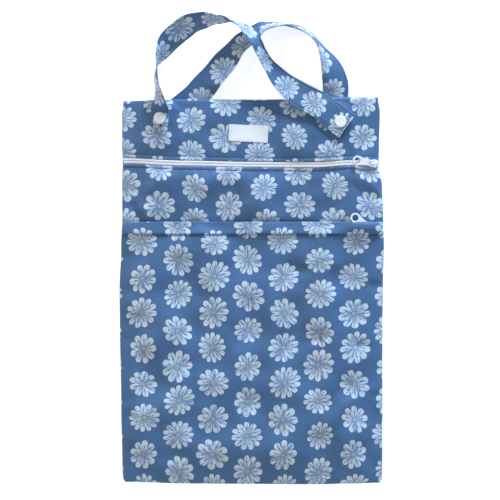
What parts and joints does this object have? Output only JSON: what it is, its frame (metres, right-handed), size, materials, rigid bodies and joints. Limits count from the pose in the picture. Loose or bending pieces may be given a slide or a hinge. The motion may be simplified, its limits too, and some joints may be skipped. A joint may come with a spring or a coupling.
{
  "type": "cloth wet bag",
  "caption": "Flat cloth wet bag with a zipped main room, a front pocket whose zip hides under a hem, and snapped carrying straps.",
  "frame": {"origin": "middle of the resting back, on the surface the bag lies on", "axes": "+X to the right, +Y toward the carrying straps, +Z out of the front cloth"},
  "size_m": [0.2751, 0.4881, 0.0329],
  "materials": {
    "printed_cloth": "printed waterproof polyester with a soft satin sheen",
    "inner_cloth": "plain waterproof polyester",
    "zip_nylon": "white nylon",
    "snap_plastic": "smooth white resin",
    "label_cloth": "fine white weave"
  },
  "bodies": {
    "bag": {"back_panel": "printed_cloth", "pocket_divider": "inner_cloth", "upper_front_panel": "printed_cloth", "middle_front_panel": "printed_cloth", "pocket_front_panel": "printed_cloth", "main_zip_chain": "zip_nylon", "main_zip_slider": "zip_nylon", "pocket_zip_chain": "zip_nylon", "pocket_zip_slider": "zip_nylon", "pocket_zip_pull": "zip_nylon", "front_handle": "printed_cloth", "back_handle": "printed_cloth", "front_left_snap_cap": "snap_plastic", "front_left_snap_socket": "snap_plastic", "front_right_snap_cap": "snap_plastic", "front_right_snap_socket": "snap_plastic", "back_left_snap_cap": "snap_plastic", "back_left_snap_socket": "snap_plastic", "back_right_snap_cap": "snap_plastic", "back_right_snap_socket": "snap_plastic", "label": "label_cloth"},
    "main_zip_pull": {"main_zip_pull": "zip_nylon"}
  },
  "joints": [
    {"name": "main_zip_pull_hinge", "type": "hinge", "parent": "bag", "child": "main_zip_pull", "pos_m": [0.12661, 0.13192, 0.00954], "axis": [0.1613, 0.9864, -0.03], "range_deg": [0, 165]}
  ]
}
